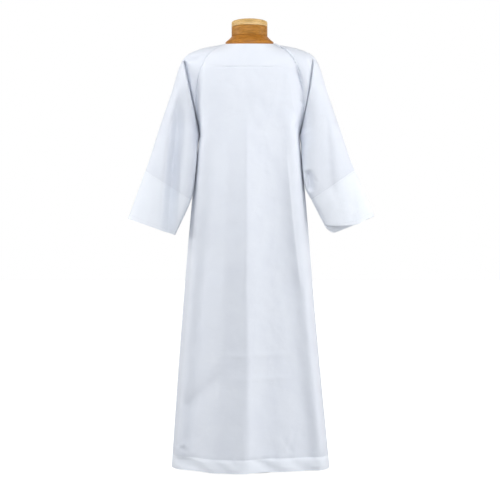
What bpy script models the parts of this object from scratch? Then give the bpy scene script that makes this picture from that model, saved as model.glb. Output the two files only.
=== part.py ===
"""An alb robe with raglan sleeves, worn by a limbless dress form on a stand.

Metres, +Z up. The robe faces -Y and the wearer's left is +X.
The origin is the centre of the foot plate's underside, on the floor.

The cloth is worked out as one net of points, from the neckline down to the hem and the cuffs. Each
sewn piece is then cut out of that net as a wall, a seam's gap away from its neighbours.
"""
import math

import bmesh
import bpy
from mathutils import Vector

# ------------------------------------------------------------------ driving sizes
UNDERARM_Z = 1.100          # height of the underarm points
HEM_Z = 0.0105              # height of the hem's lower edge
BODY_LENGTH = UNDERARM_Z - HEM_Z
HEM_DEPTH = 0.044           # turned-up hem
FACING_Z = 1.332            # lower edge of the neck facing
SINGLE_LAYER = 0.0016       # wall of one layer of cloth
DOUBLE_LAYER = 0.0026       # wall where the cloth lies double
SEAM_GAP = 0.0003           # between sewn pieces
FIT_GAP = 0.0003            # between stacked hard pieces

YOKE_ROWS = 11              # neckline to underarm
BODY_ROWS = 17              # underarm to hem band
SLEEVE_ROWS = 7             # underarm to cuff seam
CUFF_ROWS = 4
FRONT_COLUMNS = 32
BACK_COLUMNS = 22
SLEEVE_COLUMNS = 24         # all round, front seam to back seam

LAP_TOP, LAP_END = 0, 7     # yoke rows that the closure lap runs between
LAP_FRONT = 0.004           # width of the lap on the front
LAP_SLEEVE = 0.007          # width of the lap on the sleeve
LAP_GAP = 0.0009
LAP_THICKNESS = 0.0012

NECK_RADIUS = 0.0594
NECK_TOP_Z = 1.4900         # top of the domed cap
CAP_RIM_Z = 1.4780
CAP_JOINT_Z = 1.4637
BLOCK_JOINT_Z = 1.4315
COLLAR_RADIUS = 0.0795
COLLAR_Z = 1.4125           # where the flare meets the upright part
TORSO_TOP_Z = 1.3820
TORSO_BOTTOM_Z = 0.7800
POLE_RADIUS = 0.0140
BASE_RADIUS = 0.1000
BASE_HEIGHT = 0.0120
BASE_EDGE = 0.0030
ROUND_STEPS = 32

# ------------------------------------------------------------------ the cloth's curves
# Each curve of the yoke runs from the neckline (0) to the underarm (1), for the wearer's left.
FRONT_SEAM = [              # share, x, y, z
    (0.00, 0.079, -0.022, 1.405),
    (0.25, 0.132, -0.072, 1.365),
    (0.50, 0.168, -0.088, 1.289),
    (0.75, 0.178, -0.065, 1.190),
    (1.00, 0.165, 0.000, UNDERARM_Z),
]
BACK_SEAM = [               # share, x, y, z
    (0.00, 0.070, 0.043, 1.410),
    (0.25, 0.120, 0.085, 1.375),
    (0.50, 0.160, 0.094, 1.297),
    (0.75, 0.175, 0.070, 1.193),
    (1.00, 0.165, 0.000, UNDERARM_Z),
]
RIDGE = [                   # share, x, z, how far the sleeve bulges to the front and to the back
    (0.00, 0.0825, 1.407, 0.000, 0.000),
    (0.25, 0.1680, 1.388, 0.000, 0.000),
    (0.50, 0.2215, 1.352, 0.012, 0.008),
    (0.75, 0.2580, 1.245, 0.036, 0.028),
    (1.00, 0.2920, 1.145, 0.088, 0.064),
]
CENTRE_FRONT = [            # share, y, z, half angle that the front spans, flatness (1 is round)
    (0.00, -0.083, 1.398, 74, 1.00),
    (0.25, -0.104, 1.350, 60, 0.85),
    (0.50, -0.116, 1.285, 60, 0.72),
    (0.75, -0.124, 1.190, 68, 0.72),
    (1.00, -0.130, UNDERARM_Z, 90, 0.78),
]
CENTRE_BACK = [             # share, y, z, half angle that the back spans, flatness
    (0.00, 0.082, 1.412, 58, 1.00),
    (0.25, 0.108, 1.365, 56, 0.90),
    (0.50, 0.118, 1.290, 60, 0.80),
    (0.75, 0.120, 1.190, 70, 0.80),
    (1.00, 0.118, UNDERARM_Z, 90, 0.78),
]
BODY = [                    # way below the underarm, half width, front and back depth, shift in x, flatness
    (0.00, 0.165, 0.130, 0.118, 0.0000, 0.78),
    (0.20, 0.187, 0.131, 0.121, -0.0020, 0.78),
    (0.65, 0.2245, 0.140, 0.137, -0.0020, 0.84),
    (BODY_LENGTH, 0.2615, 0.150, 0.156, 0.0035, 0.90),
]
# Each sleeve runs from the underarm (1) over the cuff seam (2) to the cuff's end (3).
SLEEVES = {                 # share, inner x, y, z, outer x, y, z, depth to the front and to the back
    "left": [
        (1.00, 0.1650, 0.000, UNDERARM_Z, 0.2920, 0.000, 1.1450, 0.088, 0.064),
        (1.12, 0.1690, -0.021, 1.0730, 0.2985, -0.011, 1.1250, 0.078, 0.066),
        (1.35, 0.1706, -0.050, 1.0200, 0.3100, -0.030, 1.0870, 0.060, 0.070),
        (1.70, 0.1800, -0.067, 0.9350, 0.3290, -0.039, 1.0280, 0.052, 0.063),
        (2.00, 0.2020, -0.075, 0.8890, 0.3450, -0.043, 0.9880, 0.048, 0.053),
        (3.00, 0.2607, -0.090, 0.7740, 0.4090, -0.050, 0.8370, 0.044, 0.044),
    ],
    "right": [
        (1.00, 0.1650, 0.000, UNDERARM_Z, 0.2920, 0.000, 1.1450, 0.088, 0.064),
        (1.12, 0.1690, -0.021, 1.0730, 0.2980, -0.011, 1.1250, 0.078, 0.066),
        (1.35, 0.1720, -0.050, 1.0200, 0.3090, -0.030, 1.0870, 0.060, 0.070),
        (1.70, 0.1808, -0.067, 0.9380, 0.3270, -0.039, 1.0270, 0.052, 0.063),
        (2.00, 0.1905, -0.075, 0.8880, 0.3415, -0.043, 0.9850, 0.048, 0.053),
        (3.00, 0.2425, -0.090, 0.7740, 0.3980, -0.050, 0.8280, 0.044, 0.044),
    ],
}
# Soft folds that run down the cloth: a path through three points, the width, and the depth at each
# point. A trough has a depth above nought and a crest has one below it.
FRONT_FOLDS = [             # top x, z, middle x, z, end x, z, width to -x and +x, depth at top, middle, end
    (0.208, 1.367, 0.198, 1.245, 0.166, 1.095, 0.018, 0.010, 0.004, 0.026, 0.006),
    (-0.218, 1.360, -0.193, 1.245, -0.163, 1.095, 0.009, 0.024, 0.006, 0.034, 0.008),
    (-0.155, 1.345, -0.165, 1.240, -0.162, 1.100, 0.012, 0.014, 0.000, 0.010, 0.000),
    (-0.220, 1.280, -0.250, 1.030, -0.262, 0.770, 0.018, 0.034, 0.000, 0.015, 0.012),
    (0.243, 1.230, 0.258, 1.060, 0.272, 0.860, 0.034, 0.014, 0.000, 0.007, 0.002),
    (-0.020, 1.230, -0.012, 0.700, -0.030, HEM_Z, 0.045, 0.080, -0.002, -0.022, -0.042),
    (-0.070, 1.200, -0.088, 0.700, -0.118, HEM_Z, 0.050, 0.045, -0.001, -0.017, -0.022),
    (0.122, 1.200, 0.162, 0.720, 0.238, HEM_Z, 0.034, 0.030, -0.001, -0.014, -0.018),
]
BACK_FOLDS = [
    (0.208, 1.367, 0.198, 1.245, 0.168, 1.095, 0.016, 0.016, 0.004, 0.034, 0.006),
    (-0.214, 1.363, -0.197, 1.245, -0.168, 1.095, 0.017, 0.017, 0.005, 0.034, 0.006),
    (-0.062, 1.180, -0.090, 0.660, -0.122, HEM_Z, 0.032, 0.046, -0.001, -0.014, -0.026),
    (0.012, 1.160, 0.004, 0.640, -0.010, HEM_Z, 0.040, 0.040, 0.001, 0.013, 0.024),
    (0.078, 1.190, 0.100, 0.700, 0.118, HEM_Z, 0.042, 0.030, -0.001, -0.015, -0.030),
    (0.128, 0.980, 0.165, 0.520, 0.190, HEM_Z, 0.024, 0.028, 0.000, 0.007, 0.012),
]
CUFF_CURL = [               # share around the left cuff, how far its edge is curled up
    (0.00, 0.036),
    (0.06, 0.033),
    (0.12, 0.024),
    (0.20, 0.009),
    (0.28, -0.002),
    (0.36, 0.000),
    (0.88, 0.000),
    (0.94, 0.014),
    (1.00, 0.036),
]
FOLD_EASE = 0.030           # folds fade out over this depth towards the robe's sides
SLEEVE_FLATNESS = 0.7       # how flat the sleeves' fronts are; their backs are round

# ------------------------------------------------------------------ the dress form's sections
TORSO = [                   # z, half width, front depth, back depth
    (TORSO_BOTTOM_Z, 0.118, 0.078, 0.082),
    (0.795, 0.145, 0.096, 0.104),
    (0.840, 0.155, 0.103, 0.112),
    (0.900, 0.147, 0.100, 0.106),
    (0.980, 0.126, 0.092, 0.088),
    (1.060, 0.134, 0.103, 0.094),
    (1.140, 0.147, 0.111, 0.102),
    (1.220, 0.158, 0.109, 0.108),
    (1.290, 0.168, 0.100, 0.106),
    (1.335, 0.178, 0.088, 0.098),
    (1.362, 0.166, 0.082, 0.088),
    (TORSO_TOP_Z, 0.132, 0.076, 0.078),
]
TORSO_COLUMNS = 24

WHITE_CLOTH = (0.86, 0.88, 0.92)
FORM_COVER = (0.80, 0.78, 0.74)
LIGHT_WOOD = (0.74, 0.50, 0.20)
BROWN_WOOD = (0.46, 0.18, 0.035)
COLLAR_WOOD = (0.48, 0.22, 0.05)
PALE_METAL = (0.78, 0.78, 0.77)


# ------------------------------------------------------------------ curves and folds
def at(table, t):
    """The values at t on a smooth curve through the rows (t, value, value, ...) of a table."""
    i = sum(row[0] <= t for row in table[1:-1])
    start, end = table[i], table[i + 1]
    before = table[i - 1] if i > 0 else start
    after = table[i + 2] if i + 2 < len(table) else end
    span = end[0] - start[0]
    u = (t - start[0]) / span
    values = []
    for p0, p1, p2, p3 in list(zip(before, start, end, after))[1:]:
        slope_1 = (p2 - p0) / (end[0] - before[0])
        slope_2 = (p3 - p1) / (after[0] - start[0])
        values.append(
            (2 * u**3 - 3 * u**2 + 1) * p1
            + (u**3 - 2 * u**2 + u) * slope_1 * span
            + (3 * u**2 - 2 * u**3) * p2
            + (u**3 - u**2) * slope_2 * span
        )
    return values


def ease(u):
    """A soft step from 0 to 1 as u goes from 0 to 1."""
    u = max(0.0, min(1.0, u))
    return u * u * (3 - 2 * u)


def fold_depth(folds, x, z):
    """How deep the folds press the cloth in at x and z."""
    depth = 0.0
    for top_x, top_z, mid_x, mid_z, end_x, end_z, left, right, top, mid, end in folds:
        if z > mid_z:
            u = ease((top_z - z) / (top_z - mid_z))
            along = top + (mid - top) * u
        else:
            u = ease((mid_z - z) / (mid_z - end_z))
            along = mid + (end - mid) * u
        from_top = (z - mid_z) * (z - end_z) / ((top_z - mid_z) * (top_z - end_z))
        from_mid = (z - top_z) * (z - end_z) / ((mid_z - top_z) * (mid_z - end_z))
        from_end = (z - top_z) * (z - mid_z) / ((end_z - top_z) * (end_z - mid_z))
        path_x = from_top * top_x + from_mid * mid_x + from_end * end_x
        width = left if x < path_x else right
        reach = ease((top_z - z) / left + 1) * ease((z - end_z) / left + 1)
        depth += reach * along * math.exp(-(((x - path_x) / width) ** 2))
    return depth


def folded(x, y, z):
    """The point of the cloth at x, y and z once its folds are in."""
    folds = FRONT_FOLDS if y < 0 else BACK_FOLDS
    toward = -1 if y < 0 else 1
    press = fold_depth(folds, x, z) * ease(abs(y) / FOLD_EASE)
    return Vector((x, y - toward * press, z))


# ------------------------------------------------------------------ the cloth's net
def body_point(v, c, seam, centre, toward):
    """The front or back: v from neckline (0) over underarm (1) to hem (2), c across from -1 to 1."""
    if v <= 1:
        seam_x, seam_y, seam_z = at(seam, v)
        centre_y, centre_z, span, flatness = at(centre, v)
        half_angle = math.radians(span)
        rise = (math.cos(c * half_angle) - math.cos(half_angle)) / (1 - math.cos(half_angle))
        forward = max(0.0, rise) ** flatness
        x = seam_x * math.sin(c * half_angle) / math.sin(half_angle)
        y = seam_y + (centre_y - seam_y) * forward
        z = seam_z + (centre_z - seam_z) * rise
    else:
        drop = (v - 1) * BODY_LENGTH
        half_width, front, back, shift, flatness = at(BODY, drop)
        depth = front if toward < 0 else back
        x = shift + half_width * math.sin(c * math.pi / 2)
        y = toward * depth * max(0.0, math.cos(c * math.pi / 2)) ** flatness
        z = UNDERARM_Z - drop
    return folded(x, y, z)


def sleeve_point(v, s, side):
    """A sleeve: v from neckline (0) to cuff end (3), s from front seam (0) over the ridge to back (1)."""
    if v <= 1:
        toward = -1 if s < 0.5 else 1
        a = 1 - abs(2 * s - 1)
        seam_x, seam_y, seam_z = at(FRONT_SEAM if s < 0.5 else BACK_SEAM, v)
        ridge_x, ridge_z, front, back = at(RIDGE, v)
        closing = max(0.0, 1 - abs(seam_y) / 0.085)
        across = (1 - closing) * math.sin(a * math.pi / 2) + closing * (1 - math.cos(a * math.pi)) / 2
        x = seam_x + (ridge_x - seam_x) * across
        lift = max(0.0, math.sin(a * math.pi))
        bulge = back * lift if toward > 0 else -front * lift**SLEEVE_FLATNESS
        y = seam_y * math.cos(a * math.pi / 2) + bulge
        z = seam_z + (ridge_z - seam_z) * across
    else:
        if side == "left" and v > 2:
            cuff_length = math.dist(SLEEVES[side][-2][1:4], SLEEVES[side][-1][1:4])
            v -= at(CUFF_CURL, s)[0] / cuff_length * (v - 2) ** 2
        inner_x, inner_y, inner_z, outer_x, outer_y, outer_z, front, back = at(SLEEVES[side], v)
        across = (1 - math.cos(s * math.tau)) / 2
        x = inner_x + (outer_x - inner_x) * across
        lift = math.sin(s * math.tau)
        y = inner_y + (outer_y - inner_y) * across
        y -= front * max(0.0, lift) ** SLEEVE_FLATNESS + back * min(0.0, lift)
        z = inner_z + (outer_z - inner_z) * across
    if side == "right":
        x = -x
    return folded(x, y, z)


def steps(start, end, count):
    """The values from start to end in even steps."""
    return [start + (end - start) * i / count for i in range(count + 1)]


def add_grid(net, panel, grid):
    """Add a grid of points to the net, as faces that belong to one panel."""
    layer = net.faces.layers.int["panel"]
    rows = [[net.verts.new(point) for point in row] for row in grid]
    for upper, lower in zip(rows, rows[1:]):
        for i in range(len(upper) - 1):
            face = net.faces.new((upper[i], lower[i], lower[i + 1], upper[i + 1]))
            face[layer] = panel


PANELS = ["alb_front", "alb_back", "sleeve_left", "sleeve_right", "cuff_left", "cuff_right"]
BODY_PANELS = (0, 1)


def cloth_net():
    """All the cloth's outer points, joined where the pieces are sewn."""
    net = bmesh.new()
    net.faces.layers.int.new("panel")
    hem_line = 2 - HEM_DEPTH / BODY_LENGTH
    hem_edge = hem_line - 0.002 / BODY_LENGTH
    body_rows = steps(0, 1, YOKE_ROWS) + steps(1, hem_edge, BODY_ROWS)[1:] + [hem_line, 2]
    across = steps(-1, 1, FRONT_COLUMNS)
    front = [[body_point(v, c, FRONT_SEAM, CENTRE_FRONT, -1) for c in across] for v in body_rows]
    add_grid(net, 0, front)
    across = steps(1, -1, BACK_COLUMNS)
    back = [[body_point(v, c, BACK_SEAM, CENTRE_BACK, 1) for c in across] for v in body_rows]
    add_grid(net, 1, back)
    sleeve_rows = steps(0, 1, YOKE_ROWS) + steps(1, 2, SLEEVE_ROWS)[1:]
    for side, start, end, sleeve, cuff in (("left", 0, 1, 2, 4), ("right", 1, 0, 3, 5)):
        around = steps(start, end, SLEEVE_COLUMNS)
        add_grid(net, sleeve, [[sleeve_point(v, s, side) for s in around] for v in sleeve_rows])
        rows = steps(2, 3, CUFF_ROWS)
        add_grid(net, cuff, [[sleeve_point(v, s, side) for s in around] for v in rows])
    bmesh.ops.remove_doubles(net, verts=net.verts, dist=0.00001)
    bmesh.ops.triangulate(net, faces=net.faces, quad_method="SHORT_EDGE")
    net.verts.index_update()
    net.normal_update()
    return net


# ------------------------------------------------------------------ pieces
def new_piece(name, verts, faces, colour, roughness, metallic=0.0):
    """A mesh object with its own plain material, in the part's collection."""
    mesh = bpy.data.meshes.new(name)
    mesh.from_pydata(verts, [], faces)
    piece = bpy.data.objects.new(name, mesh)
    collection.objects.link(piece)
    finish(piece, colour, roughness, metallic)
    mesh.shade_smooth()
    return piece


def finish(piece, colour, roughness, metallic=0.0):
    """Give a piece a material of its own."""
    material = bpy.data.materials.new(piece.name)
    material.use_nodes = True
    surface = material.node_tree.nodes["Principled BSDF"]
    surface.inputs["Base Color"].default_value = (*colour, 1)
    surface.inputs["Roughness"].default_value = roughness
    surface.inputs["Metallic"].default_value = metallic
    piece.data.materials.append(material)


def into_panel(vert, faces):
    """The direction from a seam point into its panel, or nought inside the panel."""
    inward = Vector()
    for edge in vert.link_edges:
        own = [face for face in edge.link_faces if face in faces]
        if len(own) == 1:
            along = (edge.verts[1].co - edge.verts[0].co).normalized()
            across = own[0].normal.cross(along)
            to_middle = own[0].calc_center_median() - vert.co
            inward += across if across.dot(to_middle) > 0 else -across
    return inward.normalized() if inward.length > 0 else inward


def outward(vert, panel):
    """The way out of the cloth at a point; at the underarm point the body and the sleeve part."""
    underarm_x = FRONT_SEAM[-1][1]
    beside = abs(abs(vert.co.x) - underarm_x) + abs(vert.co.y) + abs(vert.co.z - UNDERARM_Z)
    if beside > 0.0001:
        return vert.normal
    away = 1 if panel in BODY_PANELS else -1
    return Vector((math.copysign(away, vert.co.x * away), 0, -1)).normalized()


def wall_piece(net, panel, thickness):
    """Cut one panel out of the net as a closed wall, whose thickness follows its height."""
    layer = net.faces.layers.int["panel"]
    faces = {face for face in net.faces if face[layer] == panel}
    ordered = sorted({vert for face in faces for vert in face.verts}, key=lambda vert: vert.index)
    number = {vert: i for i, vert in enumerate(ordered)}
    outer = [vert.co + into_panel(vert, faces) * SEAM_GAP / 2 for vert in ordered]
    inner = [
        point - outward(vert, panel) * thickness(point.z) for point, vert in zip(outer, ordered)
    ]
    count = len(ordered)
    loops = []
    for face in sorted(faces, key=lambda face: face.index):
        corners = [number[vert] for vert in face.verts]
        loops.append(corners)
        loops.append([corner + count for corner in reversed(corners)])
        for a, b, edge in zip(corners, corners[1:] + corners[:1], face.edges):
            if sum(other in faces for other in edge.link_faces) == 1:
                rim = [b, a, a + count, b + count] if a > b else [a, a + count, b + count, b]
                loops.append([rim[0], rim[1], rim[2]])
                loops.append([rim[0], rim[2], rim[3]])
    return new_piece(PANELS[panel], outer + inner, loops, WHITE_CLOTH, 0.9)


def front_thickness(z):
    """The front is double at the neck facing and at the hem."""
    return DOUBLE_LAYER if z > FACING_Z or z < HEM_Z + HEM_DEPTH + 0.001 else SINGLE_LAYER


def back_thickness(z):
    """The back is double at the hem."""
    return DOUBLE_LAYER if z < HEM_Z + HEM_DEPTH + 0.001 else SINGLE_LAYER


def closure_lap(net):
    """The narrow strip that covers the closure in the wearer's left front raglan seam."""
    bottom, top = [], []
    rows = steps(0, 1, YOKE_ROWS)[LAP_TOP:LAP_END + 1]
    finder = {tuple(round(value, 5) for value in vert.co): vert for vert in net.verts}
    for v in rows:
        seam = body_point(v, 1, FRONT_SEAM, CENTRE_FRONT, -1)
        front = body_point(v, 1 - 2 / FRONT_COLUMNS, FRONT_SEAM, CENTRE_FRONT, -1)
        sleeve = sleeve_point(v, 1 / SLEEVE_COLUMNS, "left")
        outward = finder[tuple(round(value, 5) for value in seam)].normal
        edges = (
            seam + (front - seam).normalized() * LAP_FRONT,
            seam,
            seam + (sleeve - seam).normalized() * LAP_SLEEVE,
        )
        bottom.append([point + outward * LAP_GAP for point in edges])
        top.append([point + outward * (LAP_GAP + LAP_THICKNESS) for point in edges])
    verts = [point for row in top + bottom for point in row]
    half = 3 * len(rows)
    faces = []
    for i in range(len(rows) - 1):
        for j in range(2):
            corners = [3 * i + j, 3 * i + j + 3, 3 * i + j + 4, 3 * i + j + 1]
            faces.append(corners)
            faces.append([corner + half for corner in reversed(corners)])
        for a, b in ((3 * i, 3 * i + 3), (3 * i + 5, 3 * i + 2)):
            faces.append([b, a, a + half, b + half])
    last = 3 * (len(rows) - 1)
    for a, b in ((1, 0), (2, 1), (last, last + 1), (last + 1, last + 2)):
        faces.append([b, a, a + half, b + half])
    return new_piece("closure_lap", verts, faces, WHITE_CLOTH, 0.9)


def turned_piece(name, profile, colour, roughness, metallic=0.0):
    """A round piece: its outline, from the top of the axis down to the bottom, turned about +Z."""
    mesh = bpy.data.meshes.new(name)
    points = [(radius, 0, z) for radius, z in profile]
    mesh.from_pydata(points, [(i, i + 1) for i in range(len(points) - 1)], [])
    piece = bpy.data.objects.new(name, mesh)
    collection.objects.link(piece)
    finish(piece, colour, roughness, metallic)
    turn = piece.modifiers.new("turn", "SCREW")
    turn.steps = ROUND_STEPS
    turn.render_steps = ROUND_STEPS
    turn.use_merge_vertices = True
    turn.merge_threshold = 0.0001
    return piece


def arc(centre_r, centre_z, radius_r, radius_z, start, end, count):
    """Points of an elliptical arc in the turning plane, with the angles in degrees from +r."""
    angles = [math.radians(angle) for angle in steps(start, end, count)]
    return [(centre_r + radius_r * math.cos(a), centre_z + radius_z * math.sin(a)) for a in angles]


def torso():
    """The form's body: oval sections from the hips up to a flat top under the wooden collar."""
    verts = []
    for z, half_width, front, back in TORSO:
        for i in range(TORSO_COLUMNS):
            angle = math.tau * i / TORSO_COLUMNS
            depth = front if math.sin(angle) < 0 else back
            verts.append((half_width * math.cos(angle), depth * math.sin(angle), z))
    faces = []
    for row in range(len(TORSO) - 1):
        for i in range(TORSO_COLUMNS):
            a = row * TORSO_COLUMNS + i
            b = row * TORSO_COLUMNS + (i + 1) % TORSO_COLUMNS
            faces.append((a, b, b + TORSO_COLUMNS, a + TORSO_COLUMNS))
    top = (len(TORSO) - 1) * TORSO_COLUMNS
    faces.append(tuple(reversed(range(TORSO_COLUMNS))))
    faces.append(tuple(range(top, top + TORSO_COLUMNS)))
    return new_piece("form_torso", verts, faces, FORM_COVER, 0.85)


def neck():
    """The wooden neck: a domed cap, a straight block and a flared collar."""
    cap = arc(0, CAP_RIM_Z, NECK_RADIUS, NECK_TOP_Z - CAP_RIM_Z, 90, 0, 8)
    cap += [(NECK_RADIUS, CAP_JOINT_Z + FIT_GAP), (0, CAP_JOINT_Z + FIT_GAP)]
    turned_piece("neck_cap", cap, LIGHT_WOOD, 0.5)
    block = [(0, CAP_JOINT_Z), (NECK_RADIUS, CAP_JOINT_Z)]
    block += [(NECK_RADIUS, BLOCK_JOINT_Z + FIT_GAP), (0, BLOCK_JOINT_Z + FIT_GAP)]
    turned_piece("neck_block", block, BROWN_WOOD, 0.5)
    flare = COLLAR_RADIUS - NECK_RADIUS
    collar = [(0, BLOCK_JOINT_Z)]
    for q in steps(0, 1, 6):
        radius = NECK_RADIUS + flare * (0.75 * q + 0.25 * q**2)
        collar.append((radius, BLOCK_JOINT_Z + (COLLAR_Z - BLOCK_JOINT_Z) * q))
    collar += [(COLLAR_RADIUS, TORSO_TOP_Z + FIT_GAP), (0, TORSO_TOP_Z + FIT_GAP)]
    turned_piece("neck_base", collar, COLLAR_WOOD, 0.5)


def stand():
    """A pole under the torso and a round foot plate on the floor."""
    pole_bottom = BASE_HEIGHT + FIT_GAP
    pole_top = TORSO_BOTTOM_Z - FIT_GAP
    bpy.ops.mesh.primitive_cylinder_add(
        vertices=ROUND_STEPS // 2,
        radius=POLE_RADIUS,
        depth=pole_top - pole_bottom,
        location=(0, 0, (pole_top + pole_bottom) / 2),
    )
    pole = bpy.context.object
    pole.name = "stand_pole"
    for user in list(pole.users_collection):
        user.objects.unlink(pole)
    collection.objects.link(pole)
    finish(pole, PALE_METAL, 0.35, 1.0)
    plate = [(0, BASE_HEIGHT)]
    plate += arc(BASE_RADIUS - BASE_EDGE, BASE_HEIGHT - BASE_EDGE, BASE_EDGE, BASE_EDGE, 90, 0, 3)
    plate += [(BASE_RADIUS, 0), (0, 0)]
    turned_piece("stand_base", plate, PALE_METAL, 0.35, 1.0)


# ------------------------------------------------------------------ the part
for old in list(bpy.data.objects):
    bpy.data.objects.remove(old, do_unlink=True)
collection = bpy.data.collections.new("alb_robe_on_dress_form")
bpy.context.scene.collection.children.link(collection)

net = cloth_net()
wall_piece(net, 0, front_thickness)
wall_piece(net, 1, back_thickness)
for panel in (2, 3):
    wall_piece(net, panel, lambda z: SINGLE_LAYER)
for panel in (4, 5):
    wall_piece(net, panel, lambda z: DOUBLE_LAYER)
closure_lap(net)
net.free()
torso()
neck()
stand()
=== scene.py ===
"""A white alb with raglan sleeves, worn by a limbless dress form with a wooden neck.

Metres, +Z up. The robe faces -Y and the wearer's left is +X. The sections follow the making: the view,
the form and its stand, the cloth cut and sewn on it, and the stitching last.
"""
import math

import bmesh
import bpy
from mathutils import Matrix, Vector, noise
from mathutils.bvhtree import BVHTree


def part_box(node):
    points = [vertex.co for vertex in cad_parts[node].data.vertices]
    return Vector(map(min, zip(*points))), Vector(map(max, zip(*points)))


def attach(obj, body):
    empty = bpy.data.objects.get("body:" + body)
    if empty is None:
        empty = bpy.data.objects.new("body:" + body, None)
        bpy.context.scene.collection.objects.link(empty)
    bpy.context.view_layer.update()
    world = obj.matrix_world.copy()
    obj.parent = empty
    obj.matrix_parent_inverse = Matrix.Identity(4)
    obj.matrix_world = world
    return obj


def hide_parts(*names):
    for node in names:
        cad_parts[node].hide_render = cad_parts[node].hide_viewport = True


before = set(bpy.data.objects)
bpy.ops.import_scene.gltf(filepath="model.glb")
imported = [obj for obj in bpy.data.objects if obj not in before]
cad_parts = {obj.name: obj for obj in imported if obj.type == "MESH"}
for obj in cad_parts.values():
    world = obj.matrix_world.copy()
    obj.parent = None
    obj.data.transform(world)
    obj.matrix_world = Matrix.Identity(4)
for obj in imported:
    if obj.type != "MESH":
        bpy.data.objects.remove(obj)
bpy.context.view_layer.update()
scene = bpy.context.scene

# ---------------------------------------------------------------- camera, floor and studio light
# A long lens stands level with the robe's middle, five metres in front of it. The floor is white. The
# light is soft: white walls in front and behind, dark ones at the sides, and wide lamps all round.
CAMERA_DISTANCE = 5.0
CAMERA_HEIGHT = 0.7255
CAMERA_SHIFT = 0.0016       # how far it stands to the wearer's left
VIEW_WIDTH = 1.656          # what the view takes in across at the robe
SENSOR = 36.0
FLOOR_REACH = 30


def feed(tree, node, inputs):
    """Give a node its inputs, each of them a value or another node's output."""
    for name, given in inputs.items():
        if isinstance(given, bpy.types.NodeSocket):
            tree.links.new(given, node.inputs[name])
        else:
            node.inputs[name].default_value = given


def add_node(tree, kind, inputs, **settings):
    """Add a node to a tree, with its settings and its inputs."""
    node = tree.nodes.new("ShaderNode" + kind)
    for name, value in settings.items():
        setattr(node, name, value)
    feed(tree, node, inputs)
    return node


def new_material(name, inputs):
    """A new material with a surface that has these inputs, its node tree and the surface."""
    material = bpy.data.materials.new(name)
    material.use_nodes = True
    surface = material.node_tree.nodes["Principled BSDF"]
    feed(material.node_tree, surface, inputs)
    return material, material.node_tree, surface


camera_data = bpy.data.cameras.new("camera")
camera_data.sensor_width = SENSOR
camera_data.lens = SENSOR * CAMERA_DISTANCE / VIEW_WIDTH
camera = bpy.data.objects.new("camera", camera_data)
camera.location = (CAMERA_SHIFT, -CAMERA_DISTANCE, CAMERA_HEIGHT)
camera.rotation_euler = (math.radians(90), 0, 0)
scene.collection.objects.link(camera)
scene.camera = camera
scene.view_settings.view_transform = "Standard"

floor_mesh = bpy.data.meshes.new("floor")
far = FLOOR_REACH
floor_mesh.from_pydata([(-far, -far, 0), (far, -far, 0), (far, far, 0), (-far, far, 0)], [], [(0, 1, 2, 3)])
floor = bpy.data.objects.new("floor", floor_mesh)
scene.collection.objects.link(floor)
floor_paint, floor_tree, floor_surface = new_material("white floor", {
    "Base Color": (0.60, 0.60, 0.60, 1),
    "Roughness": 0.9,
    "Emission Color": (1, 1, 1, 1),
})
floor_ray = add_node(floor_tree, "LightPath", {})
feed(floor_tree, floor_surface, {"Emission Strength": floor_ray.outputs["Is Camera Ray"]})
floor.data.materials.append(floor_paint)

LIGHTS = [                  # name, place, point aimed at, width, height, power in watts
    ("overhead light", (0.0, -0.2, 4.2), (0.0, 0.0, 0.6), 3.2, 2.4, 10),
    ("left side light", (-2.9, -0.15, 1.7), (0.0, 0.0, 1.1), 1.6, 1.6, 45),
    ("right side light", (2.9, -0.15, 1.7), (0.0, 0.0, 1.1), 1.6, 1.6, 31),
    ("left front light", (-2.2, -2.0, 1.9), (0.0, 0.0, 0.9), 1.2, 1.2, 11),
    ("right front light", (2.2, -2.0, 1.9), (0.0, 0.0, 0.9), 1.2, 1.2, 6),
    ("near high light", (0.1, -1.2, 2.2), (0.0, 0.0, 1.2), 0.8, 0.5, 9),
    ("low right light", (2.4, -0.9, 0.4), (0.0, 0.0, 0.4), 0.8, 0.6, 15),
]
for name, place, aim, width, height, power in LIGHTS:
    light = bpy.data.lights.new(name, "AREA")
    light.shape = "RECTANGLE"
    light.size = width
    light.size_y = height
    light.energy = power
    lamp = bpy.data.objects.new(name, light)
    lamp.location = place
    lamp.rotation_euler = (Vector(aim) - Vector(place)).to_track_quat("-Z", "Y").to_euler()
    scene.collection.objects.link(lamp)

world = bpy.data.worlds.new("white studio")
world.use_nodes = True
world_tree = world.node_tree
toward = add_node(world_tree, "TexCoord", {})
axes = add_node(world_tree, "SeparateXYZ", {"Vector": toward.outputs["Generated"]})
frontal = add_node(world_tree, "Math", {0: axes.outputs["Y"]}, operation="ABSOLUTE")
glow = add_node(world_tree, "MapRange", {"Value": frontal.outputs["Value"], "From Min": 0.45, "To Max": 1.38})
walls = world_tree.nodes["Background"]
feed(world_tree, walls, {"Color": (0.93, 0.96, 1.0, 1), "Strength": glow.outputs["Result"]})
seen = add_node(world_tree, "Background", {"Color": (1, 1, 1, 1), "Strength": 1.0})
by_ray = add_node(world_tree, "LightPath", {})
either = add_node(world_tree, "MixShader", {
    "Fac": by_ray.outputs["Is Camera Ray"],
    1: walls.outputs["Background"],
    2: seen.outputs["Background"],
})
feed(world_tree, world_tree.nodes["World Output"], {"Surface": either.outputs["Shader"]})
scene.world = world

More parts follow.
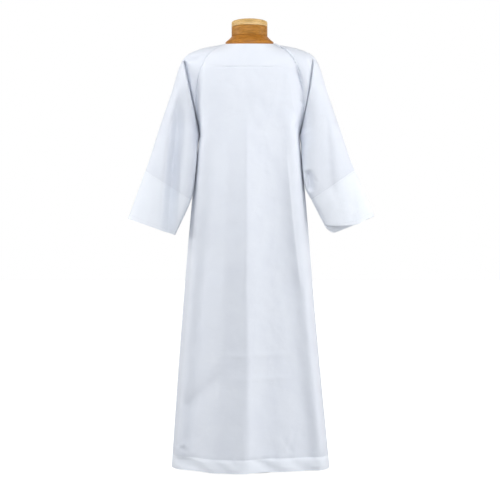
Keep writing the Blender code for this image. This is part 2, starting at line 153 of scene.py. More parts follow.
# ---------------------------------------------------------------- wooden neck
# Three turned pieces of hardwood are glued up and oiled: a light domed cap, an orange-brown block and
# a flared collar that meets the torso. Their arrises are eased and the glue lines show.
NECK_RADIUS = 0.0594
NECK_TOP_Z = 1.4900
CAP_RIM_Z = 1.4780
CAP_JOINT_Z = 1.4637
BLOCK_JOINT_Z = 1.4315
COLLAR_RADIUS = 0.0795
COLLAR_Z = 1.4125
EASED_EDGE = 0.0012
JOINT_GAP = 0.0003
LIGHT_WOOD = (0.680, 0.420, 0.140)
BROWN_WOOD = (0.355, 0.142, 0.012)
COLLAR_WOOD = (0.380, 0.142, 0.012)


def new_group(name, inputs, outputs):
    """A new node group with sockets of these names and kinds, its inputs' node and its outputs' node."""
    group = bpy.data.node_groups.new(name, "ShaderNodeTree")
    for way, sockets in (("INPUT", inputs), ("OUTPUT", outputs)):
        for socket, kind in sockets.items():
            group.interface.new_socket(socket, in_out=way, socket_type="NodeSocket" + kind)
    return group, group.nodes.new("NodeGroupInput"), group.nodes.new("NodeGroupOutput")


def grain_group():
    """Wood grain: fine dark pores and broad bands that run across the neck, uneven like a real board."""
    group, given, result = new_group(
        "wood grain",
        {"Light": "Color", "Dark": "Color", "Offset": "Vector"},
        {"Colour": "Color", "Height": "Float", "Roughness": "Float"},
    )
    place = add_node(group, "TexCoord", {}).outputs["Object"]
    moved = add_node(group, "VectorMath", {0: place, 1: given.outputs["Offset"]}, operation="ADD")
    slant = (0.0, math.radians(9), math.radians(12))
    along_bands = add_node(group, "Mapping", {
        "Vector": moved.outputs["Vector"],
        "Rotation": slant,
        "Scale": (9.0, 30.0, 75.0),
    })
    bands = add_node(group, "TexNoise", {
        "Vector": along_bands.outputs["Vector"],
        "Scale": 1.6,
        "Detail": 6,
        "Roughness": 0.62,
        "Distortion": 0.6,
    })
    along_pores = add_node(group, "Mapping", {
        "Vector": moved.outputs["Vector"],
        "Rotation": slant,
        "Scale": (22.0, 260.0, 620.0),
    })
    pores = add_node(group, "TexNoise", {"Vector": along_pores.outputs["Vector"], "Scale": 1.0, "Detail": 3})
    share = add_node(group, "MapRange", {"Value": bands.outputs["Fac"], "From Min": 0.38, "From Max": 0.63})
    broad = add_node(group, "Mix", {
        "Factor": share.outputs["Result"],
        "A": given.outputs["Dark"],
        "B": given.outputs["Light"],
    }, data_type="RGBA")
    height = add_node(group, "MapRange", {
        "Value": pores.outputs["Fac"],
        "From Min": 0.30,
        "From Max": 0.56,
        "To Min": 0.62,
    })
    tint = add_node(group, "Mix", {
        "Factor": 1.0,
        "A": broad.outputs["Result"],
        "B": height.outputs["Result"],
    }, data_type="RGBA", blend_type="MULTIPLY")
    rough = add_node(group, "MapRange", {"Value": bands.outputs["Fac"], "To Min": 0.58, "To Max": 0.40})
    feed(group, result, {
        "Colour": tint.outputs["Result"],
        "Height": height.outputs["Result"],
        "Roughness": rough.outputs["Result"],
    })
    return group


grain = grain_group()


def oiled_wood(name, light, dark, offset):
    """Oiled hardwood with the grain in its colour, its roughness and a faint relief."""
    material, tree, surface = new_material(name, {
        "Specular IOR Level": 0.2,
        "Coat Weight": 0.03,
        "Coat Roughness": 0.35,
    })
    figure = add_node(tree, "Group", {
        "Light": (*light, 1),
        "Dark": (*dark, 1),
        "Offset": offset,
    }, node_tree=grain)
    height = figure.outputs["Height"]
    relief = add_node(tree, "Bump", {"Strength": 0.35, "Distance": 0.0004, "Height": height})
    feed(tree, surface, {
        "Base Color": figure.outputs["Colour"],
        "Roughness": figure.outputs["Roughness"],
        "Normal": relief.outputs["Normal"],
    })
    return material


def steps(start, end, count):
    """The values from start to end in even steps."""
    return [start + (end - start) * i / count for i in range(count + 1)]


def turned(name, profile, material):
    """A round piece: its outline, from the top of the axis down to the bottom, turned about +Z."""
    mesh = bpy.data.meshes.new(name)
    points = [(radius, 0, z) for radius, z in profile]
    mesh.from_pydata(points, [(i, i + 1) for i in range(len(points) - 1)], [])
    piece = bpy.data.objects.new(name, mesh)
    scene.collection.objects.link(piece)
    turn = piece.modifiers.new("turn", "SCREW")
    turn.steps = 96
    turn.render_steps = 96
    turn.use_merge_vertices = True
    turn.merge_threshold = 0.00001
    turn.use_smooth_shade = True
    mesh.materials.append(material)
    return piece


def edge_round(radius, z, way, start, end):
    """Points of an eased arris, with the angles in degrees from straight out."""
    angles = [math.radians(angle) for angle in steps(start, end, 4)]
    return [
        (radius - EASED_EDGE + EASED_EDGE * math.cos(a), z + way * EASED_EDGE + EASED_EDGE * math.sin(a))
        for a in angles
    ]


dome = []
for angle in steps(90, 8, 14):
    across = NECK_RADIUS * math.cos(math.radians(angle))
    dome.append((across, CAP_RIM_Z + (NECK_TOP_Z - CAP_RIM_Z) * math.sin(math.radians(angle))))
cap_profile = dome + edge_round(NECK_RADIUS, CAP_RIM_Z - EASED_EDGE, 0, 40, 0)
cap_profile += edge_round(NECK_RADIUS, CAP_JOINT_Z + JOINT_GAP, 1, 0, -90)
cap_profile += [(0, CAP_JOINT_Z + JOINT_GAP)]
block_profile = [(0, CAP_JOINT_Z)] + edge_round(NECK_RADIUS, CAP_JOINT_Z, -1, 90, 0)
block_profile += edge_round(NECK_RADIUS, BLOCK_JOINT_Z + JOINT_GAP, 1, 0, -90)
block_profile += [(0, BLOCK_JOINT_Z + JOINT_GAP)]
flare = COLLAR_RADIUS - NECK_RADIUS
collar_profile = [(0, BLOCK_JOINT_Z)]
for share in steps(0, 1, 12):
    radius = NECK_RADIUS + flare * (0.75 * share + 0.25 * share**2)
    collar_profile.append((radius, BLOCK_JOINT_Z - (BLOCK_JOINT_Z - COLLAR_Z) * share))
torso_top_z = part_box("form_torso")[1][2]
collar_profile += [(COLLAR_RADIUS, torso_top_z + JOINT_GAP), (0, torso_top_z + JOINT_GAP)]

light_wood = oiled_wood("light oiled wood", (0.800, 0.560, 0.270), LIGHT_WOOD, (0.3, 0.1, 0.2))
brown_wood = oiled_wood("orange-brown oiled wood", (0.540, 0.245, 0.045), BROWN_WOOD, (0.0, 0.0, 0.0))
collar_wood = oiled_wood("warm brown oiled wood", (0.540, 0.225, 0.040), COLLAR_WOOD, (0.7, 0.4, 0.9))
for name, profile, material, node, slot in (
    ("neck_cap_turned", cap_profile, light_wood, "neck_cap", "light_wood"),
    ("neck_block_turned", block_profile, brown_wood, "neck_block", "brown_wood"),
    ("neck_collar_turned", collar_profile, collar_wood, "neck_base", "collar_wood"),
):
    piece = turned(name, profile, material)
    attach(piece, "root")
    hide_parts(node)

# ---------------------------------------------------------------- torso cover
# The form's torso is a padded shell under a stretched pale jersey. It is hidden by the robe, and only
# its underside shows from the hem.
def rib_group():
    """Fine ribs in a colour and a height, lying across the X of the vector that the group is given."""
    group, given, result = new_group(
        "fine ribs",
        {"Vector": "Vector", "Scale": "Float", "Distortion": "Float", "Dark": "Color", "Light": "Color"},
        {"Tint": "Color", "Height": "Float"},
    )
    wave = add_node(group, "TexWave", {
        "Vector": given.outputs["Vector"],
        "Scale": given.outputs["Scale"],
        "Distortion": given.outputs["Distortion"],
    }, wave_type="BANDS", bands_direction="X")
    tint = add_node(group, "Mix", {
        "Factor": wave.outputs["Fac"],
        "A": given.outputs["Dark"],
        "B": given.outputs["Light"],
    }, data_type="RGBA")
    feed(group, result, {"Tint": tint.outputs["Result"], "Height": wave.outputs["Fac"]})
    return group


ribs = rib_group()
jersey, jersey_tree, jersey_surface = new_material("pale jersey cover", {
    "Roughness": 0.85,
    "Sheen Weight": 0.2,
})
jersey_place = add_node(jersey_tree, "TexCoord", {}).outputs["Object"]
knit = add_node(jersey_tree, "Group", {
    "Vector": jersey_place,
    "Scale": 160,
    "Distortion": 1.2,
    "Dark": (0.66, 0.63, 0.58, 1),
    "Light": (0.78, 0.76, 0.71, 1),
}, node_tree=ribs)
knit_relief = add_node(jersey_tree, "Bump", {"Distance": 0.0003, "Height": knit.outputs["Height"]})
feed(jersey_tree, jersey_surface, {
    "Base Color": knit.outputs["Tint"],
    "Normal": knit_relief.outputs["Normal"],
})
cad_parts["form_torso"].data.materials[0] = jersey

# ---------------------------------------------------------------- stand
# A steel pole runs down from the torso into a round steel foot plate. Both are powder coated in pale
# grey, with the faint orange-peel of such a coat.
coat, coat_tree, coat_surface = new_material("pale powder coat", {})
coat_place = add_node(coat_tree, "TexCoord", {})
on_steel = coat_place.outputs["Object"]
peel = add_node(coat_tree, "TexNoise", {"Vector": on_steel, "Scale": 900, "Detail": 2})
smudge = add_node(coat_tree, "TexNoise", {"Vector": on_steel, "Scale": 14, "Detail": 4})
coat_colour = add_node(coat_tree, "Mix", {
    "Factor": smudge.outputs["Fac"],
    "A": (0.66, 0.66, 0.65, 1),
    "B": (0.76, 0.76, 0.75, 1),
}, data_type="RGBA")
coat_rough = add_node(coat_tree, "MapRange", {"Value": smudge.outputs["Fac"], "To Min": 0.32, "To Max": 0.5})
coat_relief = add_node(coat_tree, "Bump", {"Distance": 0.0001, "Height": peel.outputs["Fac"]})
feed(coat_tree, coat_surface, {
    "Base Color": coat_colour.outputs["Result"],
    "Roughness": coat_rough.outputs["Result"],
    "Normal": coat_relief.outputs["Normal"],
})
for node in ("stand_pole", "stand_base"):
    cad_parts[node].data.materials[0] = coat

# ---------------------------------------------------------------- the robe's cut
# The robe hangs from the form's shoulders. Its curves are those of the cloth as it hangs: the seams
# from the neckline to the underarms, the body down to the hem and each sleeve down to its cuff.
UNDERARM_Z = 1.100
HEM_Z = 0.0105
BODY_LENGTH = UNDERARM_Z - HEM_Z
HEM_DEPTH = 0.044
FACING_Z = 1.319
SEAM_GAP = 0.0003           # between two pieces that are sewn together
FRONT_SEAM = [              # share from neckline to underarm, x, y, z
    (0.00, 0.079, -0.022, 1.405),
    (0.25, 0.132, -0.072, 1.365),
    (0.50, 0.168, -0.088, 1.289),
    (0.75, 0.178, -0.065, 1.190),
    (1.00, 0.165, 0.000, UNDERARM_Z),
]
BACK_SEAM = [               # share, x, y, z
    (0.00, 0.070, 0.043, 1.410),
    (0.25, 0.120, 0.085, 1.375),
    (0.50, 0.160, 0.094, 1.297),
    (0.75, 0.175, 0.070, 1.193),
    (1.00, 0.165, 0.000, UNDERARM_Z),
]
RIDGE = [                   # share, x, z, how far the sleeve bulges to the front and to the back
    (0.00, 0.0825, 1.407, 0.000, 0.000),
    (0.25, 0.1680, 1.388, 0.000, 0.000),
    (0.50, 0.2215, 1.352, 0.012, 0.008),
    (0.75, 0.2580, 1.245, 0.036, 0.028),
    (1.00, 0.2920, 1.145, 0.088, 0.064),
]
CENTRE_FRONT = [            # share, y, z, half angle that the front spans, flatness (1 is round)
    (0.00, -0.083, 1.398, 74, 1.00),
    (0.25, -0.104, 1.350, 60, 0.85),
    (0.50, -0.116, 1.285, 60, 0.72),
    (0.75, -0.124, 1.190, 68, 0.72),
    (1.00, -0.130, UNDERARM_Z, 90, 0.78),
]
CENTRE_BACK = [             # share, y, z, half angle that the back spans, flatness
    (0.00, 0.082, 1.412, 58, 1.00),
    (0.25, 0.108, 1.365, 56, 0.90),
    (0.50, 0.118, 1.290, 60, 0.80),
    (0.75, 0.120, 1.190, 70, 0.80),
    (1.00, 0.118, UNDERARM_Z, 90, 0.78),
]
BODY = [                    # way below the underarm, half width, front and back depth, shift in x, flatness
    (0.00, 0.165, 0.130, 0.118, 0.0000, 0.78),
    (0.20, 0.187, 0.131, 0.121, -0.0020, 0.78),
    (0.65, 0.2245, 0.140, 0.137, -0.0020, 0.84),
    (BODY_LENGTH, 0.2615, 0.150, 0.156, 0.0035, 0.90),
]
# The sleeves' shares: 1 at the underarm, 2 at the cuff's seam and 3 at its end.
SLEEVES = {                 # share, inner x, y, z, outer x, y, z, depth to the front and to the back
    "left": [
        (1.00, 0.1650, 0.000, UNDERARM_Z, 0.2920, 0.000, 1.1450, 0.088, 0.064),
        (1.12, 0.1690, -0.021, 1.0730, 0.2985, -0.011, 1.1250, 0.078, 0.066),
        (1.35, 0.1706, -0.050, 1.0200, 0.3100, -0.030, 1.0870, 0.060, 0.070),
        (1.70, 0.1800, -0.067, 0.9350, 0.3290, -0.039, 1.0280, 0.052, 0.063),
        (2.00, 0.2020, -0.075, 0.8890, 0.3450, -0.043, 0.9880, 0.048, 0.053),
        (3.00, 0.2607, -0.090, 0.7740, 0.4090, -0.050, 0.8370, 0.044, 0.044),
    ],
    "right": [
        (1.00, 0.1650, 0.000, UNDERARM_Z, 0.2920, 0.000, 1.1450, 0.088, 0.064),
        (1.12, 0.1690, -0.021, 1.0730, 0.2980, -0.011, 1.1250, 0.078, 0.066),
        (1.35, 0.1720, -0.050, 1.0200, 0.3090, -0.030, 1.0870, 0.060, 0.070),
        (1.70, 0.1808, -0.067, 0.9380, 0.3270, -0.039, 1.0270, 0.052, 0.063),
        (2.00, 0.1905, -0.075, 0.8880, 0.3415, -0.043, 0.9850, 0.048, 0.053),
        (3.00, 0.2425, -0.090, 0.7740, 0.3980, -0.050, 0.8280, 0.044, 0.044),
    ],
}
CUFF_CURL = [               # share around the left cuff, how far its edge is curled up
    (0.00, 0.036),
    (0.06, 0.033),
    (0.12, 0.024),
    (0.20, 0.009),
    (0.28, -0.002),
    (0.36, 0.000),
    (0.88, 0.000),
    (0.94, 0.014),
    (1.00, 0.036),
]
# Soft folds: a path through three points, the width, and the depth at each point. A trough has a
# depth above nought and a crest has one below it.
FRONT_FOLDS = [             # top x, z, middle x, z, end x, z, width to -x and +x, depth at top, middle, end
    (-0.020, 1.230, -0.012, 0.700, -0.030, HEM_Z, 0.078, 0.052, -0.002, -0.030, -0.040),
    (-0.070, 1.200, -0.088, 0.700, -0.118, HEM_Z, 0.050, 0.042, -0.001, -0.017, -0.022),
    (0.122, 1.200, 0.162, 0.720, 0.238, HEM_Z, 0.034, 0.030, -0.001, -0.014, -0.018),
]
BACK_FOLDS = [
    (-0.062, 1.180, -0.090, 0.660, -0.122, HEM_Z, 0.032, 0.046, -0.001, -0.014, -0.026),
    (0.012, 1.160, 0.004, 0.640, -0.010, HEM_Z, 0.040, 0.040, 0.001, 0.013, 0.024),
    (0.078, 1.190, 0.100, 0.700, 0.118, HEM_Z, 0.042, 0.030, -0.001, -0.015, -0.030),
    (0.128, 0.980, 0.165, 0.520, 0.190, HEM_Z, 0.024, 0.028, 0.000, 0.007, 0.012),
]
FOLD_EASE = 0.030           # way in from the side ridges over which the folds set in
SLEEVE_FLATNESS = 0.7       # how flat the sleeves' fronts are; their backs are round


def at(table, t):
    """The values at t on a smooth curve through the rows (t, value, value, ...) of a table."""
    i = sum(row[0] <= t for row in table[1:-1])
    start, end = table[i], table[i + 1]
    before = table[i - 1] if i > 0 else start
    after = table[i + 2] if i + 2 < len(table) else end
    span = end[0] - start[0]
    u = (t - start[0]) / span
    values = []
    for p0, p1, p2, p3 in list(zip(before, start, end, after))[1:]:
        slope_1 = (p2 - p0) / (end[0] - before[0])
        slope_2 = (p3 - p1) / (after[0] - start[0])
        values.append(
            (2 * u**3 - 3 * u**2 + 1) * p1
            + (u**3 - 2 * u**2 + u) * slope_1 * span
            + (3 * u**2 - 2 * u**3) * p2
            + (u**3 - u**2) * slope_2 * span
        )
    return values


def ease(u):
    """A soft step from 0 to 1 as u goes from 0 to 1."""
    u = max(0.0, min(1.0, u))
    return u * u * (3 - 2 * u)


def fold_depth(folds, x, z):
    """How deep the folds press the cloth in at x and z."""
    depth = 0.0
    for top_x, top_z, mid_x, mid_z, end_x, end_z, left, right, top, mid, end in folds:
        if z > mid_z:
            along = top + (mid - top) * ease((top_z - z) / (top_z - mid_z))
        else:
            along = mid + (end - mid) * ease((mid_z - z) / (mid_z - end_z))
        from_top = (z - mid_z) * (z - end_z) / ((top_z - mid_z) * (top_z - end_z))
        from_mid = (z - top_z) * (z - end_z) / ((mid_z - top_z) * (mid_z - end_z))
        from_end = (z - top_z) * (z - mid_z) / ((end_z - top_z) * (end_z - mid_z))
        path_x = from_top * top_x + from_mid * mid_x + from_end * end_x
        width = left if x < path_x else right
        reach = ease((top_z - z) / left + 1) * ease((z - end_z) / left + 1)
        depth += reach * along * math.exp(-(((x - path_x) / width) ** 2))
    return depth


# ---------------------------------------------------------------- creases
# Smaller creases: the deep ones where the sleeves fold in at the armholes, those from
# folding for packing, puckers at the seams and soft breaks above the hem.
FRONT_CREASES = [           # x, z of one end, x, z of the other, bow, width on each side, depth, kind
    (-0.2185, 1.362, -0.1590, 1.085, 0.000, 0.0035, 0.079, 0.042, "wedge"),
    (-0.2180, 1.290, -0.2740, 0.560, -0.010, 0.014, 0.028, 0.042, "soft"),
    (0.2430, 1.240, 0.2720, 0.860, -0.002, 0.045, 0.016, 0.007, "soft"),
    (0.2095, 1.362, 0.1615, 1.085, 0.005, 0.016, 0.0030, 0.022, "lap"),
    (0.1540, 1.325, 0.1780, 1.180, 0.004, 0.036, 0.005, 0.008, "facet"),
    (0.1530, 1.310, 0.1775, 1.225, 0.003, 0.0025, 0.0020, 0.005, "sharp"),
    (0.1600, 1.214, 0.1800, 1.200, 0.000, 0.0040, 0.0030, 0.004, "soft"),
    (0.1870, 0.990, 0.1980, 0.910, 0.004, 0.009, 0.009, 0.020, "soft"),
    (0.2020, 0.972, 0.2200, 0.942, 0.000, 0.004, 0.003, 0.003, "soft"),
    (-0.1480, 1.200, -0.2456, -0.020, 0.000, 0.009, 0.034, -0.028, "edge"),
    (0.1430, 1.200, 0.2537, -0.020, 0.000, 0.034, 0.009, -0.028, "edge"),
    (-0.0110, 1.200, -0.0150, 0.500, 0.003, 0.048, 0.036, -0.0160, "sharp"),
    (0.1180, 1.080, 0.1700, 0.560, -0.004, 0.034, 0.014, -0.0100, "sharp"),
    (-0.0080, 0.640, 0.0016, -0.060, 0.000, 0.070, 0.016, -0.0090, "sharp"),
    (-0.1006, 0.3860, 0.1613, 0.3892, 0.000, 0.007, 0.007, -0.0024, "sharp"),
    (-0.0500, 0.3093, 0.1400, 0.3157, 0.000, 0.022, 0.010, -0.0038, "sharp"),
    (-0.0700, 0.3400, -0.2350, 0.1860, 0.000, 0.022, 0.040, 0.0070, "soft"),
    (0.0980, 0.1300, 0.1390, 0.0660, 0.000, 0.006, 0.010, 0.0020, "soft"),
    (0.1400, 0.1460, 0.1120, 0.0680, 0.000, 0.006, 0.006, -0.0014, "soft"),
    (-0.2620, 0.1080, -0.1950, 0.0660, 0.000, 0.006, 0.008, 0.0035, "soft"),
    (-0.2520, 0.0720, -0.2030, 0.1030, 0.000, 0.005, 0.005, -0.0025, "soft"),
]
BACK_CREASES = [
    (0.2300, 1.320, 0.2660, 0.820, 0.004, 0.020, 0.034, 0.012, "soft"),
    (-0.2350, 1.290, -0.2700, 0.780, -0.005, 0.030, 0.018, 0.011, "soft"),
    (-0.2140, 1.356, -0.1615, 1.075, 0.000, 0.0045, 0.030, 0.030, "lap"),
    (0.2100, 1.358, 0.1615, 1.075, 0.004, 0.026, 0.0045, 0.030, "lap"),
    (0.1560, 1.330, 0.1660, 1.150, 0.006, 0.034, 0.007, 0.010, "facet"),
    (-0.0020, 1.180, -0.0030, 0.560, 0.000, 0.030, 0.034, -0.0040, "sharp"),
    (-0.1500, 0.3720, 0.1200, 0.3680, 0.000, 0.006, 0.006, -0.0012, "sharp"),
    (-0.1300, 0.3000, 0.1100, 0.3040, 0.000, 0.020, 0.010, -0.0020, "sharp"),
    (0.0900, 0.3500, 0.2300, 0.1700, 0.000, 0.024, 0.014, 0.0045, "soft"),
    (-0.1400, 0.1600, -0.1050, 0.0660, 0.000, 0.007, 0.009, 0.0045, "soft"),
    (0.1700, 0.0650, 0.2250, 0.1120, 0.000, 0.006, 0.007, 0.0035, "soft"),
]


def cross_section(kind, share, lower_side):
    """The height across a crease: 1 on its line and 0 beside it, share being distance over width.

    Beside a lap or a wedge, the cloth comes back steeply and then slowly on the lower side, as it does
    beside a tuck. The other kinds are alike on both sides: flat for a facet, with a keen line for a
    sharp one, and round for a soft one or an edge.
    """
    if kind in ("lap", "wedge"):
        if lower_side:
            steep, rise = (0.6, 1.0) if kind == "lap" else (0.4, 1.7)
            return steep * max(0.0, 1 - share * 8) + (1 - steep) * max(0.0, 1 - share**rise)
        return ease(1 - share)
    if kind == "facet":
        return max(0.0, 1 - share)
    if kind == "sharp":
        return math.exp(-share)
    return math.exp(-share**2)


def crease_depth(creases, x, z):
    """How deep the small creases press the cloth in at x and z."""
    depth = 0.0
    for x1, z1, x2, z2, bow, before, after, press, kind in creases:
        run_x, run_z = x2 - x1, z2 - z1
        length = math.hypot(run_x, run_z)
        along = ((x - x1) * run_x + (z - z1) * run_z) / length**2
        if 0 < along < 1:
            beside = ((z - z1) * run_x - (x - x1) * run_z) / length - bow * 4 * along * (1 - along)
            width = before if beside < 0 else after
            if kind == "wedge" and width == max(before, after):
                width = 0.003 + (width - 0.003) * (1 - along) ** 1.2
            share = abs(beside) / width
            if share < 5:
                fade = 0.10 if kind in ("lap", "wedge", "edge") else 0.25
                lower_side = after > before if beside > 0 else before > after
                ends = ease(along / fade) * ease((1 - along) / fade)
                depth += press * ends * cross_section(kind, share, lower_side)
    return depth


HEM_GROOVE = 0.0020         # how far the hem's stitches pull the cloth in
HEM_GROOVE_WIDTH = 0.0035
HEM_DRAG = 0.0130           # how far the drags in the hem press in and out
HEM_PUCKER = 0.0032         # and the puckers along its stitches
PUCKERS_ABOVE = 0.016       # how far the puckers run up from the stitches and down
PUCKERS_BELOW = 0.006
FACING_GROOVE = 0.0026      # how far the facing's stitches pull the cloth in
FACING_GROOVE_WIDTH = 0.0020
FACING_REACH = 0.13         # how far the groove runs to each side, fading out at its ends
BROAD_UNEVENNESS = 0.0022   # how uneven the cloth is from hand to hand, and from finger to finger
FINE_UNEVENNESS = 0.0015
EVEN_ABOVE_Z = 1.36         # the neckline is even
MOST_PRESS = 0.8            # the most that a fold can press, as a share of the way to the middle


def hem_press(x, z, toward):
    """The turned-up hem: a groove along its stitches, slanting drags across it and puckers above it."""
    below = HEM_Z + HEM_DEPTH - z
    groove = HEM_GROOVE * math.exp(-((below / HEM_GROOVE_WIDTH) ** 2))
    drag = noise.noise(Vector((x * 19 + z * 21, toward * 5, x * 3))) * HEM_DRAG
    drag *= ease(below / 0.010) * (1 - 0.5 * ease((below - 0.030) / 0.010))
    pucker = noise.noise(Vector((x * 48, toward * 9, z * 9))) * HEM_PUCKER
    pucker *= math.exp(-below / PUCKERS_BELOW) if below > 0 else math.exp(below / PUCKERS_ABOVE)
    return groove + drag + pucker


def hung(x, y, z):
    """The point of the cloth at x, y and z once it hangs in its folds and creases."""
    toward = -1 if y < 0 else 1
    press = fold_depth(FRONT_FOLDS if y < 0 else BACK_FOLDS, x, z)
    press += crease_depth(FRONT_CREASES if y < 0 else BACK_CREASES, x, z)
    unevenness = noise.noise(Vector((x * 9, toward * 3, z * 5))) * BROAD_UNEVENNESS
    unevenness += noise.noise(Vector((x * 34, toward * 7, z * 22))) * FINE_UNEVENNESS
    press += unevenness * ease((EVEN_ABOVE_Z - z) / 0.1)
    if z < HEM_Z + 2 * HEM_DEPTH:
        press += hem_press(x, z, toward)
    elif y < 0:
        groove = math.exp(-(((z - FACING_Z) / FACING_GROOVE_WIDTH) ** 2))
        press += FACING_GROOVE * groove * ease((FACING_REACH - abs(x)) / 0.05)
    press = min(press * ease(abs(y) / FOLD_EASE), MOST_PRESS * abs(y))
    return Vector((x, y - toward * press, z))


# ---------------------------------------------------------------- the cloth cut into its pieces
# Front, back, two sleeves and two cuffs of one plain-woven cloth. They are laid out together as one
# net of points, sewn at the seams, and each is cut out of it as a thin wall of its own.
YOKE_ROWS = 96              # neckline to underarm
BODY_ROWS = 190             # underarm to hem stitches
HEM_ROWS = 10
HEM_CREASE = 0.0020         # height of the row of faces on each side of the hem stitches
SLEEVE_ROWS = 60
CUFF_ROWS = 36
FRONT_COLUMNS = 144
BACK_COLUMNS = 110
SLEEVE_COLUMNS = 112
MERGE_DISTANCE = 0.00001    # points of two panels nearer than this are one seam point
UNDERARM_BAND = (0.99, 1.24)
SMOOTHINGS = 12             # how often the cloth in that band is smoothed, at each reach
SEAM_PULL = 0.0011          # how far a seam's stitches pull the cloth in
SINGLE_WALL = 0.0016        # thickness of the cloth, air in its weave and folds included
DOUBLE_WALL = 0.0026
PANELS = ["front", "back", "left_sleeve", "right_sleeve", "left_cuff", "right_cuff"]
FRONT, BACK, LEFT_SLEEVE, RIGHT_SLEEVE, LEFT_CUFF, RIGHT_CUFF = range(6)
SINGLE, DOUBLE, FACED = range(3)    # how the cloth is finished: double where it is turned up or faced


def body_point(v, c, seam, centre, toward):
    """The front or back: v from neckline (0) over underarm (1) to hem (2), c across from -1 to 1."""
    if v <= 1:
        seam_x, seam_y, seam_z = at(seam, v)
        centre_y, centre_z, span, flatness = at(centre, v)
        half_angle = math.radians(span)
        rise = (math.cos(c * half_angle) - math.cos(half_angle)) / (1 - math.cos(half_angle))
        forward = max(0.0, rise) ** flatness
        x = seam_x * math.sin(c * half_angle) / math.sin(half_angle)
        y = seam_y + (centre_y - seam_y) * forward
        z = seam_z + (centre_z - seam_z) * rise
    else:
        drop = (v - 1) * BODY_LENGTH
        half_width, front, back, shift, flatness = at(BODY, drop)
        depth = front if toward < 0 else back
        x = shift + half_width * math.sin(c * math.pi / 2)
        y = toward * depth * max(0.0, math.cos(c * math.pi / 2)) ** flatness
        z = UNDERARM_Z - drop
    return Vector((x, y, z))


def sleeve_point(v, s, side):
    """A sleeve: v from neckline (0) to cuff end (3), s from front seam (0) over the ridge to back (1)."""
    if v <= 1:
        toward = -1 if s < 0.5 else 1
        a = 1 - abs(2 * s - 1)
        seam_x, seam_y, seam_z = at(FRONT_SEAM if s < 0.5 else BACK_SEAM, v)
        ridge_x, ridge_z, front, back = at(RIDGE, v)
        closing = max(0.0, 1 - abs(seam_y) / 0.085)
        across = (1 - closing) * math.sin(a * math.pi / 2) + closing * (1 - math.cos(a * math.pi)) / 2
        x = seam_x + (ridge_x - seam_x) * across
        lift = max(0.0, math.sin(a * math.pi))
        bulge = back * lift if toward > 0 else -front * lift**SLEEVE_FLATNESS
        y = seam_y * math.cos(a * math.pi / 2) + bulge
        z = seam_z + (ridge_z - seam_z) * across
    else:
        if side == "left" and v > 2:
            cuff_length = math.dist(SLEEVES[side][-2][1:4], SLEEVES[side][-1][1:4])
            v -= at(CUFF_CURL, s)[0] / cuff_length * (v - 2) ** 2
        inner_x, inner_y, inner_z, outer_x, outer_y, outer_z, front, back = at(SLEEVES[side], v)
        across = (1 - math.cos(s * math.tau)) / 2
        x = inner_x + (outer_x - inner_x) * across
        lift = math.sin(s * math.tau)
        y = inner_y + (outer_y - inner_y) * across
        y -= front * max(0.0, lift) ** SLEEVE_FLATNESS + back * min(0.0, lift)
        z = inner_z + (outer_z - inner_z) * across
    if side == "right":
        x = -x
    return Vector((x, y, z))


def lay_panel(net, panel, grid):
    """Add a grid of points to the net as one panel's faces, with its flat cut as a UV map in metres."""
    layer = net.faces.layers.int["panel"]
    cut = net.loops.layers.uv["cut"]
    middle = len(grid[0]) // 2
    down = [0.0]
    for upper, lower in zip(grid, grid[1:]):
        down.append(down[-1] + (lower[middle] - upper[middle]).length)
    across = []
    for row in grid:
        along = [0.0]
        for a, b in zip(row, row[1:]):
            along.append(along[-1] + (b - a).length)
        across.append([value - along[middle] for value in along])
    rows = [[net.verts.new(point) for point in row] for row in grid]
    for i in range(len(rows) - 1):
        for j in range(len(rows[i]) - 1):
            corners = ((i, j), (i + 1, j), (i + 1, j + 1), (i, j + 1))
            face = net.faces.new([rows[r][k] for r, k in corners])
            face[layer] = panel
            for loop, (r, k) in zip(face.loops, corners):
                loop[cut].uv = (across[r][k], -down[r])


def across_body(start, end, count):
    """Steps across the front or back, closer together beside the seams."""
    bend = math.radians(67)
    return [math.sin(bend * c) / math.sin(bend) for c in steps(start, end, count)]


def around_sleeve(start, end, count):
    """Steps around a sleeve, closer together beside the seams."""
    return [s - 0.45 * math.sin(math.tau * s) / math.tau for s in steps(start, end, count)]


